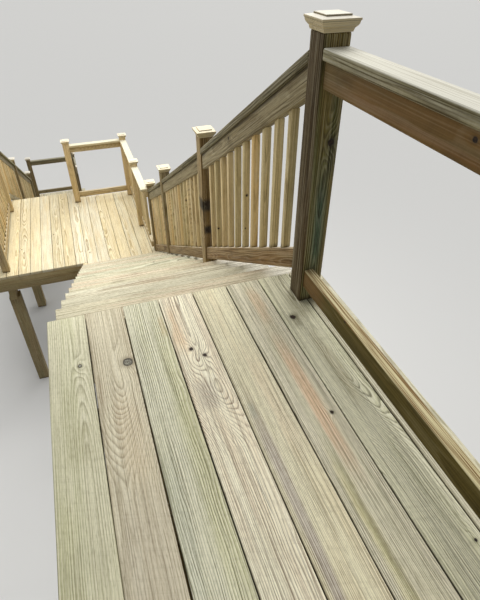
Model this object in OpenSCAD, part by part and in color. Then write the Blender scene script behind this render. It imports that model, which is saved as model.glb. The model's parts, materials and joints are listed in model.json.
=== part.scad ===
// Timber deck stairs: a narrow upper deck along a wall, a straight flight of
// open-riser steps, an L-shaped landing, and a second flight to a low landing
// near the ground, with 36 inch guards on 4x4 posts.
//
// All modules work in a "house" frame: X = 0 at the wall, +X away from it,
// +Y down the stairs, Y = 0 at the front edge of the upper deck and Z = 0 on
// its surface. place() moves that frame so that the origin of the part is at
// the bottom centre of its bounding box.

/* [Stairs] */
// Height of one riser
rise = 164.2; // [155:0.1:175]
// Depth of one step, nosing to nosing
run = 291.2; // [286:0.1:310]
// Number of risers from the upper deck to the landing
risers_1 = 14; // [12:1:16]
// Number of risers from the landing to the foot landing
risers_2 = 11; // [9:1:13]
// Overhang of each tread in front of the stringer's riser cut
nose = 25; // [15:1:30]

/* [Boards] */
// Width of a deck board (nominal 6 inch)
board_w = 139.7; // [135:0.1:142]
// Gap between neighbouring boards
board_gap = 3.8; // [2:0.1:6]
// Thickness of deck boards and treads
board_t = 38; // [32:1:40]
// Number of boards across the upper deck
deck_boards = 8; // [8:1:9]
// Width of the upper deck's outermost board, ripped to suit
last_board_w = 131; // [100:0.5:139.5]

/* [Framing] */
// Thickness of joists, rims and stringers
lumber_t = 38; // [36:1:45]
// Depth of the joists and plain rims (nominal 8 inch)
joist_h = 184; // [184:1:235]
// Depth of stringers and of the headers that carry them (nominal 12 inch)
stringer_h = 286; // [280:1:300]
// Side of the square support posts (nominal 6 inch)
support_w = 140; // [120:1:150]
// Depth of the joists of the foot landing, which lie on the ground
sleeper_h = 140; // [120:1:184]

/* [Guards] */
// Side of the square guard posts (nominal 4 inch)
post_w = 89; // [85:1:95]
// Height of the level guards, to the top of the cap rail
guard_h = 916.5; // [900:0.5:1000]
// Thickness of the flat cap rail
cap_t = 34; // [30:1:38]
// Height of the rail on edge below a level cap rail
sub_h = 78; // [70:1:89]
// Height of the rail on edge below a sloping cap rail
slope_sub_h = 86; // [70:1:89]
// Height of the bottom rail of the upper guard
low_rail_h = 78; // [60:1:89]
// Height of the bottom rail everywhere else
stair_rail_h = 83; // [78:1:89]
// Rails on edge of the upper guard and flight 1, behind the posts' inner face
rail_inset = 11; // [0:0.5:25]
// Side of the square balusters
baluster_w = 31; // [29:1:38]
// Balusters of flight 1, centre to centre
baluster_pitch = 124.2; // [115:0.1:130]
// Height of the sloping cap rail's top above the nosing line
slope_cap = 840; // [820:1:860]
// Width of the square post cap's plate
post_cap_w = 123; // [118:1:130]

/* [Hidden] */

pitch = board_w + board_gap;
slope = rise / run;
slant = sqrt(run * run + rise * rise) / run;      // 1 / cos of the stair angle

// Upper deck
deck_x0 = -2;
deck_x1 = deck_x0 + (deck_boards - 1) * pitch + last_board_w;
deck_len = 2440;
header_y = -nose;                                 // face of the front header

// Guard line of the upper deck and flight 1
gx = 959;
g_yn = -200;                                      // near face of the top newel
back_y = -2350;                                   // near face of the back posts

// Heights
z1 = -rise * risers_1;                            // landing
z2 = z1 - rise * risers_2;                        // foot landing
ground = z2 - board_t - sleeper_h;

// Flight 1
f1_last = run * (risers_1 - 1);                   // last nosing
p2y = run * 5 - 168;                              // posts on treads 5 and 11
p3y = run * 11 - 278;
p4y = f1_last + 280;                              // newel on the landing
p2z = -rise * 5;
p3z = -rise * 11;

// Landing: boards keep one line of seams, seam 0 at X = 57.5
seam0 = 57.5;
lx = seam0 + board_gap / 2;                       // left edge of board 0
land_x1 = lx + 7 * pitch - board_gap;             // right edge
land_x0 = lx - 8 * pitch;                         // left edge
land_yn = f1_last - 420;                          // near edge
house_y = 4082;                                   // end wall of the house
land_yf = p4y + 2041;                             // far edge, right part
f2_y0 = land_yf + 243;                            // far edge, left part

// Guards of the landing
rx = 870;                                         // right guard, inner face
rr = rx + post_w - lumber_t;                      // its rails lie outside
p5y = p4y + 754;
p6y = land_yf - 100 - post_w;
px7 = 27.5;                                       // right guard of flight 2
pxl = land_x0 + 99.6;                             // left guard of flight 2
l1y = house_y + 98;

// Flight 2
f2_last = f2_y0 + run * (risers_2 - 1);
m2y = f2_y0 + run * 5 - 168;                      // post on tread 5
m2z = z1 - rise * 5;
n1y = f2_last + 280;                              // newels on the foot landing
n2y = n1y + 858;                                  // corner posts
foot_x1 = lx + pitch - board_gap;
foot_yn = f2_last - 420;
foot_yf = n2y + post_w + 99.5;

// Bounding box of the whole part
bx0 = land_x0;
bx1 = deck_x1;
by0 = -deck_len;
by1 = foot_yf;

deck_col = [0.82, 0.78, 0.62];
frame_col = [0.60, 0.54, 0.38];
post_col = [0.50, 0.42, 0.27];
rail_col = [0.66, 0.56, 0.38];
tread_col = [0.86, 0.80, 0.66];

module place() translate([-(bx0 + bx1) / 2, -(by0 + by1) / 2, -ground]) children();

// Box from its low corner to its high corner
module box(a, b) translate(a) cube([b[0] - a[0], b[1] - a[1], b[2] - a[2]]);

// A prism along X with its outline given as [Y, Z] points
module yz_prism(x, w, pts) translate([x, 0, 0]) rotate([90, 0, 90]) linear_extrude(w) polygon(pts);

// n boards side by side, from x, running along Y
module boards(x, n, y0, y1, z)
  for (i = [0:n - 1]) box([x + i * pitch, y0, z - board_t], [x + i * pitch + board_w, y1, z]);

module post(x, y, z0, z1) box([x, y, z0], [x + post_w, y + post_w, z1]);

// Four-sided block that widens from side a to side b over height h
module flare(a, b, h) linear_extrude(h, scale = b / a) square(a, center = true);

// Square post cap: a moulding that flares out from the post to a thin plate
// with a sloped top, and a raised square on the plate. z is the post's top.
module post_cap(x, y, z) translate([x + post_w / 2, y + post_w / 2, z]) {
  flare(post_w + 3, post_w + 9, 11);
  translate([0, 0, 11]) flare(post_w + 9, post_cap_w - 9, 8);
  translate([0, 0, 19]) flare(post_cap_w - 9, post_cap_w - 4, 11);
  translate([0, 0, 30]) flare(post_cap_w, post_cap_w, 6);
  translate([0, 0, 36]) flare(post_cap_w - 1, post_w - 6, 4.2);
  translate([0, 0, 40.2]) flare(post_w - 8, post_w - 10, 4.8);
}

// Nosing line of each flight
function nose1(y) = -slope * y;
function nose2(y) = z1 - slope * (y - f2_y0);

// Bays of flight 1's guard: ends, number of balusters, then at both ends the
// heights above the nosing line of the cap rail's and the bottom rail's underside
function bays1() = [
  [g_yn + post_w, p2y, 10, 797, 790, 39, 14],
  [p2y + post_w, p3y, 12, 790, 822, 8, 4],
  [p3y + post_w, p4y, 8, 822, 858, 4, 4]];
function cap1(b, y) = nose1(y) + b[3] + (b[4] - b[3]) * (y - b[0]) / (b[1] - b[0]);
function low1(b, y) = nose1(y) + b[5] + (b[6] - b[5]) * (y - b[0]) / (b[1] - b[0]);
// Rail from e to f above a bay's cap line or bottom line
module cap_rail1(b, x, w, e, f)
  yz_prism(x, w, [[b[0], cap1(b, b[0]) + e], [b[1], cap1(b, b[1]) + e], [b[1], cap1(b, b[1]) + f], [b[0], cap1(b, b[0]) + f]]);
module low_rail1(b, x, w, e, f)
  yz_prism(x, w, [[b[0], low1(b, b[0]) + e], [b[1], low1(b, b[1]) + e], [b[1], low1(b, b[1]) + f], [b[0], low1(b, b[0]) + f]]);
module rail2(x, w, y0, y1, b, t)
  yz_prism(x, w, [[y0, nose2(y0) + b], [y1, nose2(y1) + b], [y1, nose2(y1) + t], [y0, nose2(y0) + t]]);

// First bay of flight 2: level from the newel, then mitred to the slope.
// lb, lt are heights above the landing, b, t above the nosing line.
module mitred_rail(x, w, y0, y1, lb, lt, b, t)
  yz_prism(x, w, [
    [y0, z1 + lb], [f2_y0 + (b - lb) / slope, z1 + lb], [y1, nose2(y1) + b],
    [y1, nose2(y1) + t], [f2_y0 + (t - lt) / slope, z1 + lt], [y0, z1 + lt]]);

// n balusters spread between y0 and y1, cut to the slope at both ends
function mid(y0, y1, n, i) = y0 + (y1 - y0) * (i + 1) / (n + 1) - baluster_w / 2;
module balusters1(x, b)
  for (i = [0:b[2] - 1]) {
    a = (b[0] + b[1] - baluster_w) / 2 + (i - (b[2] - 1) / 2) * baluster_pitch;
    c = a + baluster_w;
    lo = stair_rail_h * slant;
    hi = -slope_sub_h * slant;
    yz_prism(x, baluster_w, [[a, low1(b, a) + lo], [c, low1(b, c) + lo], [c, cap1(b, c) + hi], [a, cap1(b, a) + hi]]);
  }
function low2(y) = min(z1 + l_low_t, nose2(y) + s_low_t);
function top2(y) = min(z1 + l_sub_b, nose2(y) + s_sub_b);
module balusters2(x, y0, y1, n)
  for (i = [0:n - 1]) {
    a = mid(y0, y1, n, i);
    b = a + baluster_w;
    yz_prism(x, baluster_w, [[a, low2(a)], [b, low2(b)], [b, top2(b)], [a, top2(a)]]);
  }
module balusters_level(x, y0, y1, n, z)
  for (i = [0:n - 1]) box([x, mid(y0, y1, n, i), z + l_low_t], [x + baluster_w, mid(y0, y1, n, i) + baluster_w, z + l_sub_b]);

// Heights of the level guards above their deck
l_cap_b = guard_h - cap_t;
l_sub_b = l_cap_b - sub_h;
l_low_b = 78;
l_low_t = l_low_b + stair_rail_h;
// Heights of the sloping guards above the nosing line
s_cap_b = slope_cap - cap_t * slant;
s_sub_b = s_cap_b - slope_sub_h * slant;
s_low_b = 20;
s_low_t = s_low_b + stair_rail_h * slant;

// Offset that centres a baluster on a post
bo = (post_w - baluster_w) / 2;
// Offsets of rails near the low and the high face of a post
ro = rail_inset;
rh = post_w - lumber_t - rail_inset;

// Heights of post tops above the deck or tread that they stand on
newel_h = 952;

// Sawtooth stringer of n treads from a header whose deck edge is at (y, z)
module stringer(x, y, z, n) {
  drop = stringer_h * slant;
  tip = z - rise - board_t;                       // first tread's seat
  low = function(yy) tip - drop - slope * (yy - (y + run - nose));
  foot = z - rise * (n + 1);
  yz_prism(x, lumber_t, concat(
    [[y - nose, low(y - nose)], [y - nose, tip]],
    [for (k = [1:n], e = [0, 1]) [y + run * (k - 1 + e) - nose, tip - rise * (k - 1)]],
    [[y + run * n - nose, foot],
     [y + run - nose + (tip - drop - foot) / slope, foot]]));
}

// Two boards a tread
module treads(x0, x1, y, z, n)
  for (k = [1:n], e = [0, 1])
    box([x0, y + run * k - (1 + e) * board_w - e * board_gap, z - rise * k - board_t],
        [x1, y + run * k - e * pitch, z - rise * k]);

// ---------------------------------------------------------------- upper deck
module upper_deck_boards() color(deck_col) place() {
  boards(deck_x0, deck_boards - 1, -deck_len, 0, 0);
  box([deck_x1 - last_board_w, -deck_len, -board_t], [deck_x1, 0, 0]);
}

module upper_side_rims() color(frame_col) place() for (x = [deck_x0, deck_x1 - lumber_t])
  box([x, -deck_len + lumber_t, -board_t - joist_h], [x + lumber_t, header_y - lumber_t, -board_t]);

module upper_end_rims() color(frame_col) place() {
  box([deck_x0, -deck_len, -board_t - joist_h], [deck_x1, -deck_len + lumber_t, -board_t]);
  box([deck_x0, header_y - lumber_t, -board_t - stringer_h], [deck_x1, header_y, -board_t]);
}

module upper_joists() color(frame_col) place() for (i = [1:5]) {
  y = header_y - lumber_t - i * 390;
  box([deck_x0 + lumber_t, y - lumber_t, -board_t - joist_h], [deck_x1 - lumber_t, y, -board_t]);
}

beam_w = 2 * lumber_t;
u_beam_x = [245, 811];
module upper_beams() color(frame_col) place() for (x = u_beam_x)
  box([x, -deck_len + 60, -board_t - 2 * joist_h], [x + beam_w, -110, -board_t - joist_h]);

so = (support_w - beam_w) / 2;
module upper_support_posts() color(post_col) place() for (x = u_beam_x, y = [-2280, -450])
  box([x - so, y, ground], [x - so + support_w, y + support_w, -board_t - 2 * joist_h]);

module upper_guard_posts() color(post_col) place() {
  post(gx, g_yn, 0, newel_h);
  post(gx, back_y, 0, newel_h);
  post(2, back_y, 0, newel_h);
}

module upper_post_caps() color(rail_col) place() {
  post_cap(gx, g_yn, newel_h);
  post_cap(gx, back_y, newel_h);
  post_cap(2, back_y, newel_h);
}

module upper_cap_rails() color(rail_col) place() {
  box([gx, back_y + post_w, l_cap_b], [gx + post_w, g_yn, guard_h]);
  box([2 + post_w, back_y, l_cap_b], [gx, back_y + post_w, guard_h]);
}

module upper_sub_rails() color(rail_col) place() {
  box([gx + ro, back_y + post_w, l_sub_b], [gx + ro + lumber_t, g_yn, l_cap_b]);
  box([2 + post_w, back_y + rh, l_sub_b], [gx, back_y + rh + lumber_t, l_cap_b]);
}

module upper_bottom_rails() color(rail_col) place() {
  box([gx + ro, back_y + post_w, 73], [gx + ro + lumber_t, g_yn, 73 + low_rail_h]);
  box([2 + post_w, back_y + rh, 73], [gx, back_y + rh + lumber_t, 73 + low_rail_h]);
}

// ------------------------------------------------------------------ flight 1
module flight1_stringers() color(frame_col) place() for (x = [20, 545, 1070])
  stringer(x, 0, 0, risers_1 - 1);

module flight1_treads() color(tread_col) place() treads(deck_x0 + 4, deck_x1, 0, 0, risers_1 - 1);

module flight1_guard_posts() color(post_col) place() {
  post(gx, p2y, p2z, p2z + 988);
  post(gx, p3y, p3z, p3z + 1093);
  post(gx, p4y, z1, z1 + newel_h);
}

module flight1_post_caps() color(rail_col) place() {
  post_cap(gx, p2y, p2z + 988);
  post_cap(gx, p3y, p3z + 1093);
  post_cap(gx, p4y, z1 + newel_h);
}

module flight1_cap_rails() color(rail_col) place() for (b = bays1()) cap_rail1(b, gx, post_w, 0, cap_t * slant);
module flight1_sub_rails() color(rail_col) place() for (b = bays1()) cap_rail1(b, gx + ro, lumber_t, -slope_sub_h * slant, 0);
module flight1_bottom_rails() color(rail_col) place() for (b = bays1()) low_rail1(b, gx + ro, lumber_t, 0, stair_rail_h * slant);
module flight1_balusters() color(rail_col) place() for (b = bays1()) balusters1(gx + ro + lumber_t - baluster_w, b);

// ------------------------------------------------------------------- landing
module landing_boards() color(deck_col) place() {
  boards(lx, 7, land_yn, land_yf, z1);
  boards(land_x0, 8, house_y, f2_y0, z1);
  box([deck_x0, land_yn, z1 - board_t], [lx - board_gap, house_y - board_gap, z1]);
}

jb = z1 - board_t - joist_h;
jt = z1 - board_t;
f2_head = f2_y0 - nose;                           // header face of flight 2
lr = lumber_t;
// Rims that run along Y
module landing_side_rims() color(frame_col) place() {
  box([land_x1 - lr, land_yn + lr, jb], [land_x1, land_yf - lr, jt]);
  box([deck_x0, land_yn + lr, jb], [deck_x0 + lr, house_y, jt]);
  box([land_x0, house_y + lr, jb], [land_x0 + lr, f2_head - lr, jt]);
  box([lx - board_gap - lr, land_yf, jb], [lx - board_gap, f2_head - lr, jt]);
}

// Rims that run along X; the header of flight 2 is deeper
module landing_end_rims() color(frame_col) place() {
  box([deck_x0, land_yn, jb], [land_x1, land_yn + lr, jt]);
  box([land_x0, house_y, jb], [deck_x0 + lr, house_y + lr, jt]);
  box([lx - board_gap - lr, land_yf - lr, jb], [land_x1, land_yf, jt]);
  box([land_x0, f2_head - lr, jt - stringer_h], [lx - board_gap, f2_head, jt]);
}

module landing_joists() color(frame_col) place() {
  box([deck_x0 + lr, land_yn + 330, jb], [land_x1 - lr, land_yn + 330 + lr, jt]);
  for (i = [1:4])
    box([land_x0 + lr, house_y + i * 390, jb], [land_x1 - lr, house_y + i * 390 + lr, jt]);
  box([land_x0 + lr, land_yf - lr, jb], [lx - board_gap - lr - 2, land_yf, jt]);
}

l_beams = [[905, land_yn + 60, land_yf - 60], [10, land_yn + 60, f2_head - lr - 22],
           [land_x0 + 90, house_y + 60, f2_head - lr - 22]];
module landing_beams() color(frame_col) place() for (b = l_beams)
  box([b[0], b[1], jb - joist_h], [b[0] + beam_w, b[2], jb]);

module landing_support_posts() color(post_col) place() for (b = l_beams, y = [b[1] + 60, b[2] - 60 - support_w])
  box([b[0] - so, y, ground], [b[0] - so + support_w, y + support_w, jb - joist_h]);

land_posts = [[rx, p5y], [rx, p6y], [px7, p6y], [pxl, l1y], [pxl, p6y]];
module landing_guard_posts() color(post_col) place() for (p = land_posts) post(p[0], p[1], z1, z1 + newel_h);
module landing_post_caps() color(rail_col) place() for (p = land_posts) post_cap(p[0], p[1], z1 + newel_h);

// Level rails of the landing. The right guard's rails pass the inner face of
// the newel of flight 1.
module landing_rails(xo, w, b, t) {
  y0 = p4y;
  box([rx + xo, y0, z1 + b], [rx + xo + w, p5y, z1 + t]);
  box([rx + xo, p5y + post_w, z1 + b], [rx + xo + w, p6y, z1 + t]);
  box([px7 + post_w, p6y + (post_w - w) / 2, z1 + b], [rx, p6y + (post_w + w) / 2, z1 + t]);
  box([pxl + (post_w - w) / 2, l1y + post_w, z1 + b], [pxl + (post_w + w) / 2, p6y, z1 + t]);
}
module landing_cap_rails() color(rail_col) place() landing_rails(0, post_w, l_cap_b, guard_h);
module landing_sub_rails() color(rail_col) place() landing_rails(post_w - lumber_t, lumber_t, l_sub_b, l_cap_b);
module landing_bottom_rails() color(rail_col) place() landing_rails(post_w - lumber_t, lumber_t, l_low_b, l_low_t);

module landing_balusters() color(rail_col) place() {
  xb = rr + lumber_t - baluster_w;
  balusters_level(xb, p4y + post_w, p5y, 5, z1);
  balusters_level(xb, p5y + post_w, p6y, 8, z1);
  balusters_level(pxl + bo, l1y + post_w, p6y, 13, z1);
}

// ------------------------------------------------------------------ flight 2
module flight2_stringers() color(frame_col) place() for (x = [land_x0 + 20, (land_x0 + foot_x1 - lr) / 2, foot_x1 - 70])
  stringer(x, f2_y0, z1, risers_2 - 1);

module flight2_treads() color(tread_col) place() treads(land_x0, foot_x1, f2_y0, z1, risers_2 - 1);

low_posts = [[px7, m2y, m2z, 988], [pxl, m2y, m2z, 988], [px7, n1y, z2, newel_h], [pxl, n1y, z2, newel_h],
             [px7, n2y, z2, newel_h], [pxl, n2y, z2, newel_h]];
module flight2_guard_posts() color(post_col) place() for (p = low_posts) post(p[0], p[1], p[2], p[2] + p[3]);
module flight2_post_caps() color(rail_col) place() for (p = low_posts) post_cap(p[0], p[1], p[2] + p[3]);

// Both sides of the flight, then the level guard round the foot landing
module low_rails(w, lb, lt, b, t) {
  o = (post_w - w) / 2;
  for (x = [px7 + o, pxl + o]) {
    mitred_rail(x, w, p6y + post_w, m2y, lb, lt, b, t);
    rail2(x, w, m2y + post_w, n1y, b, t);
  }
  box([px7 + o, n1y + post_w, z2 + lb], [px7 + o + w, n2y, z2 + lt]);
  box([pxl + post_w, n2y + o, z2 + lb], [px7, n2y + o + w, z2 + lt]);
}
module flight2_cap_rails() color(rail_col) place() low_rails(post_w, l_cap_b, guard_h, s_cap_b, slope_cap);
module flight2_sub_rails() color(rail_col) place() low_rails(lumber_t, l_sub_b, l_cap_b, s_sub_b, s_cap_b);
module flight2_bottom_rails() color(rail_col) place() low_rails(lumber_t, l_low_b, l_low_t, s_low_b, s_low_t);
module flight2_balusters() color(rail_col) place() {
  for (x = [px7 + bo, pxl + bo]) {
    balusters2(x, p6y + post_w, m2y, 13);
    balusters2(x, m2y + post_w, n1y, 14);
  }
  balusters_level(px7 + bo, n1y + post_w, n2y, 6, z2);
}

// -------------------------------------------------------------- foot landing
module foot_landing_boards() color(deck_col) place() boards(land_x0, 9, foot_yn, foot_yf, z2);

module foot_landing_side_rims() color(frame_col) place() for (x = [land_x0, foot_x1 - lr])
  box([x, foot_yn + lr, ground], [x + lr, foot_yf - lr, z2 - board_t]);

module foot_landing_end_rims() color(frame_col) place() for (y = [foot_yn, foot_yf - lr])
  box([land_x0, y, ground], [foot_x1, y + lr, z2 - board_t]);

module foot_landing_joists() color(frame_col) place() for (i = [1:4]) {
  y = foot_yn + i * 350;
  box([land_x0 + lr, y, ground], [foot_x1 - lr, y + lr, z2 - board_t]);
}

upper_deck_boards();
upper_joists();
upper_side_rims();
upper_end_rims();
upper_beams();
upper_support_posts();
upper_guard_posts();
upper_post_caps();
upper_cap_rails();
upper_sub_rails();
upper_bottom_rails();
flight1_stringers();
flight1_treads();
flight1_guard_posts();
flight1_post_caps();
flight1_cap_rails();
flight1_sub_rails();
flight1_bottom_rails();
flight1_balusters();
landing_boards();
landing_joists();
landing_side_rims();
landing_end_rims();
landing_beams();
landing_support_posts();
landing_guard_posts();
landing_post_caps();
landing_cap_rails();
landing_sub_rails();
landing_bottom_rails();
landing_balusters();
flight2_stringers();
flight2_treads();
flight2_guard_posts();
flight2_post_caps();
flight2_cap_rails();
flight2_sub_rails();
flight2_bottom_rails();
flight2_balusters();
foot_landing_boards();
foot_landing_joists();
foot_landing_side_rims();
foot_landing_end_rims();
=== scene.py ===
import json
import math
import random

import bmesh
import bpy
from mathutils import Matrix, Vector


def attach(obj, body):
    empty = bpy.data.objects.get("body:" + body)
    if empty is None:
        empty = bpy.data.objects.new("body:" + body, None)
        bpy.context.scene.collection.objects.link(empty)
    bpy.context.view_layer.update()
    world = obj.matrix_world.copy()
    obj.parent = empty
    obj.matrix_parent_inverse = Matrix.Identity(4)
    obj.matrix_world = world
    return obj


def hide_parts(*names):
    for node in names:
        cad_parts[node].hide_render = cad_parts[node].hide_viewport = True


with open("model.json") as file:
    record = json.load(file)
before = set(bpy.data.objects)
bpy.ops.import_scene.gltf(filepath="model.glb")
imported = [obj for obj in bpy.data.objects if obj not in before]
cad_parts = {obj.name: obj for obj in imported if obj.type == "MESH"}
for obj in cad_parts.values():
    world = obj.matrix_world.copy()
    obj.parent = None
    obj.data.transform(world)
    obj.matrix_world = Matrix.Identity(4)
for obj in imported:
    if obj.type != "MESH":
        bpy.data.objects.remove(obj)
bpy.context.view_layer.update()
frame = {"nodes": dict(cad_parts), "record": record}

# The house frame (X = 0 at the wall, Y = 0 at the deck's front edge, Z = 0 on the deck) in the part's frame
OFF = Vector((-0.02245, -4.07405, 4.283))


# --------------------------------------------------------------------------- camera
def make_camera():
    right = Vector((0.945196, -0.326504, -0.000276))
    down = Vector((-0.201390, -0.582338, -0.787607))
    fwd = right.cross(down)
    cam = bpy.data.cameras.new("view")
    cam.lens = 475.69 / 600 * 36
    cam.sensor_width = 36
    cam.clip_end = 400
    ob = bpy.data.objects.new("view", cam)
    up = -down
    back = -fwd
    m = Matrix(((right.x, up.x, back.x), (right.y, up.y, back.y), (right.z, up.z, back.z))).to_4x4()
    m.translation = Vector((0.24589, -1.54452, 1.18413)) + OFF
    ob.matrix_world = m
    bpy.context.scene.collection.objects.link(ob)
    bpy.context.scene.camera = ob


make_camera()
bpy.context.scene.view_settings.view_transform = "Standard"


# --------------------------------------------------------------------------- node helper
class Tree:
    def __init__(self, tree):
        self.t = tree
        tree.nodes.clear()

    def put(self, x, socket):
        if isinstance(x, bpy.types.NodeSocket):
            self.t.links.new(x, socket)
        elif x is not None:
            socket.default_value = x

    def math(self, op, a, b=None, c=None, clamp=False):
        n = self.t.nodes.new("ShaderNodeMath")
        n.operation = op
        n.use_clamp = clamp
        for i, x in enumerate((a, b, c)):
            self.put(x, n.inputs[i])
        return n.outputs[0]

    def add(self, a, b):
        return self.math("ADD", a, b)

    def sub(self, a, b):
        return self.math("SUBTRACT", a, b)

    def mul(self, a, b):
        return self.math("MULTIPLY", a, b)

    def div(self, a, b):
        return self.math("DIVIDE", a, b)

    def vec(self, x, y, z):
        n = self.t.nodes.new("ShaderNodeCombineXYZ")
        for i, v in enumerate((x, y, z)):
            self.put(v, n.inputs[i])
        return n.outputs[0]

    def sep(self, v):
        n = self.t.nodes.new("ShaderNodeSeparateXYZ")
        self.put(v, n.inputs[0])
        return n.outputs[0], n.outputs[1], n.outputs[2]

    def attr(self, name, kind="Vector"):
        n = self.t.nodes.new("ShaderNodeAttribute")
        n.attribute_name = name
        return n.outputs[kind]

    def noise(self, v, scale=1.0, detail=2.0, rough=0.5, dist=0.0):
        n = self.t.nodes.new("ShaderNodeTexNoise")
        self.put(v, n.inputs["Vector"])
        n.inputs["Scale"].default_value = scale
        n.inputs["Detail"].default_value = detail
        n.inputs["Roughness"].default_value = rough
        n.inputs["Distortion"].default_value = dist
        return n.outputs["Fac"]

    def rng(self, x, a, b, c=0.0, d=1.0, smooth=True):
        n = self.t.nodes.new("ShaderNodeMapRange")
        n.interpolation_type = "SMOOTHSTEP" if smooth else "LINEAR"
        n.clamp = True
        for i, v in enumerate((x, a, b, c, d)):
            self.put(v, n.inputs[i])
        return n.outputs[0]

    def bell(self, x):
        """1 at x = 0, falling off like a bell."""
        return self.math("EXPONENT", self.mul(self.mul(x, x), -1.0))

    def mix(self, f, a, b, blend="MIX"):
        n = self.t.nodes.new("ShaderNodeMix")
        n.data_type = "RGBA"
        n.blend_type = blend
        self.put(f, n.inputs[0])
        self.put(a, n.inputs[6])
        self.put(b, n.inputs[7])
        return n.outputs[2]


def lin(r, g, b):
    def f(c):
        c /= 255
        return c / 12.92 if c <= 0.04045 else ((c + 0.055) / 1.055) ** 2.4
    return (f(r), f(g), f(b), 1.0)


# --------------------------------------------------------------------------- wood
# Attributes of each piece of lumber:
#   wu  place along, across and through the piece, metres
#   ws  three random numbers, the same all over one piece
#   wp  pith across and through the piece, and ring spacing
#   wa  place along, half length and rise of a ramp in the pith's depth
#   wb  how much the pith wanders, how wavy the grain is, how strong the rings are
#   wk0, wk1, wk2  knots: along, across, radius (0 for none, below 0 for curled rings with no knot)
#   wz, wy, cz  a coloured streak: along, half length, strength; across, half width, and how much more or less streaky the piece is
#   wz2, wy2, cz2 and wz3, wy3, cz3  two more; the last number of wy2 is 1 where knots are grey, of wy3 the pith's drift to one side
#   wc  a drying crack: across, along, half length (0 for none)
#   we  1 on eased edges, which get a painted highlight; below 0 where an edge or a face in a gap is painted dark,
#   mostly as painted shade
#   wf  distance from the end or edge where the wood is painted darker: painted shade under nosings and cap rails,
#   partly dirt
#   wt  how much the faces that see the sky get painted light
#   cl, cd, ct  light, dark and tint colours
def wood_material(name, ring=0.6, tint=0.5, top=0.0, rough=0.72, streak=0.25, stain=0.15, mill=0.05, edge=0.25, bump=0.5, white=(240, 235, 212), fleck=0.12, pale_k=0.25, top_line=0.6, top_fib=0.75, top_dark=None, dry=0.6):
    mat = bpy.data.materials.new(name)
    mat.use_nodes = True
    t = Tree(mat.node_tree)
    u, v, w = t.sep(t.attr("wu"))
    s1, s2, s3 = t.sep(t.attr("ws"))
    pv, pw, pitch = t.sep(t.attr("wp"))
    ac, ah, aa = t.sep(t.attr("wa"))
    bw, bg, br = t.sep(t.attr("wb"))
    us = t.add(u, s1)
    zu, zl, zs = t.sep(t.attr("wz"))
    yv, yw, yx = t.sep(t.attr("wy"))
    zu2, zl2, zs2 = t.sep(t.attr("wz2"))
    yv2, yw2, grey = t.sep(t.attr("wy2"))
    zu3, zl3, zs3 = t.sep(t.attr("wz3"))
    yv3, yw3, drift = t.sep(t.attr("wy3"))
    sk = t.add(yx, 1.0)
    sm = t.math("MINIMUM", sk, 1.0)

    # pith: it wanders, and its depth may change along the piece
    nv = t.mul(t.sub(t.noise(t.vec(t.mul(us, 0.9), s2, s3)), 0.5), t.mul(bw, 0.05))
    nw = t.mul(t.sub(t.noise(t.vec(t.mul(us, 1.1), s3, s1)), 0.5), t.mul(bw, 0.06))
    rise = t.rng(t.div(t.sub(u, ac), ah), -1.0, 1.0)
    ramp = t.mul(aa, rise)
    dv = t.sub(t.sub(t.sub(v, pv), nv), t.mul(drift, t.sub(1.0, rise)))
    dw = t.sub(t.sub(w, t.add(pw, ramp)), nw)
    r = t.math("SQRT", t.add(t.mul(dv, dv), t.mul(dw, dw)))
    # waves of the grain, stretched along it
    warp = t.sub(t.noise(t.vec(t.mul(us, 4.0), t.mul(v, 16), t.add(t.mul(w, 16), s2)), 1.0, 1.0), 0.5)
    warp2 = t.sub(t.noise(t.vec(t.mul(us, 16.0), t.mul(v, 60), t.add(t.mul(w, 60), s3)), 1.0, 2.0), 0.5)
    r = t.add(r, t.mul(bg, t.add(t.mul(warp, 0.010), t.mul(warp2, 0.0022))))

    knot = halo = rim = dead = None
    for k in range(3):
        ku, kv, kr = t.sep(t.attr("wk%d" % k))
        du = t.sub(u, ku)
        dk = t.sub(v, kv)
        ra = t.math("ABSOLUTE", kr)
        on = t.math("GREATER_THAN", kr, 0.0005)
        flow = t.math("GREATER_THAN", ra, 0.0005)
        # rings flow round the knot
        e = t.mul(t.bell(t.div(du, t.add(t.mul(ra, 3.4), 0.016))), t.bell(t.div(dk, t.add(t.mul(ra, 1.5), 0.005))))
        r = t.add(r, t.mul(t.mul(e, flow), t.add(0.008, t.mul(ra, 0.8))))
        wob = t.mul(t.sub(t.noise(t.vec(t.mul(u, 110), t.mul(v, 110), s1), 1.0, 1.0), 0.5), t.rng(ra, 0.008, 0.016, 0.9, 0.25))
        d = t.div(t.math("SQRT", t.add(t.mul(du, du), t.mul(t.mul(dk, 1.12), t.mul(dk, 1.12)))), t.math("MAXIMUM", kr, 0.0005))
        d = t.add(d, wob)
        kk = t.mul(t.rng(d, 0.85, 1.1, 1.0, 0.0), on)
        hh = t.mul(t.rng(d, 0.9, 2.4, 1.0, 0.0), on)
        rr = t.mul(t.rng(t.math("ABSOLUTE", t.sub(d, 0.9)), 0.0, 0.3, 1.0, 0.0), on)
        dd = t.mul(t.mul(kk, t.rng(kr, 0.0125, 0.0155, 1.0, 0.0)), t.sub(1.0, grey))
        if knot is None:
            knot, halo, rim, dead = kk, hh, rr, dd
        else:
            knot = t.math("MAXIMUM", knot, kk)
            halo = t.math("MAXIMUM", halo, hh)
            rim = t.math("MAXIMUM", rim, rr)
            dead = t.math("MAXIMUM", dead, dd)

    q = t.div(r, pitch)
    q = t.add(q, t.mul(t.noise(t.vec(t.mul(r, 60), s1, s2), 1.0, 1.0), 1.6))
    f = t.math("FRACT", q)
    late = t.mul(t.rng(f, 0.54, 0.88), t.rng(f, 0.93, 1.0, 1.0, 0.0))
    pale = t.mul(t.rng(f, 0.0, 0.08), t.rng(f, 0.22, 0.50, 1.0, 0.0))
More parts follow.
